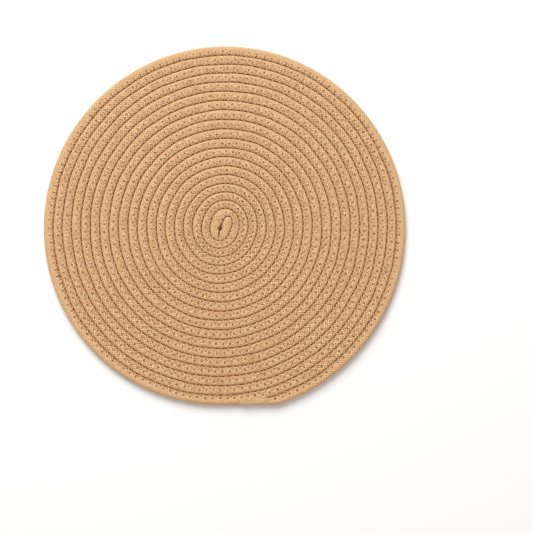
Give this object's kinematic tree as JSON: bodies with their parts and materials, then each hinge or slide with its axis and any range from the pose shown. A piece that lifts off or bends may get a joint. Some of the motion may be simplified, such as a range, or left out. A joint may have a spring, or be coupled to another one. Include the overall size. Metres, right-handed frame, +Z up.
{
  "type": "round coiled rope placemat",
  "caption": "Flat round table mat of braided cotton rope, wound in a spiral and zigzag-sewn turn to turn; it keeps plates off the table.",
  "frame": {"origin": "middle of the mat's box on the surface it rests on, the underside being Z = 0", "axes": "+Z up out of the upper face, -Y towards the rope's sewn-down tail, +X to the right with +Y away"},
  "size_m": [0.329, 0.3276, 0.0071],
  "materials": {
    "cotton_rope": "matt braided cotton, tan"
  },
  "bodies": {
    "root": {"coiled_rope": "cotton_rope"}
  },
  "joints": []
}
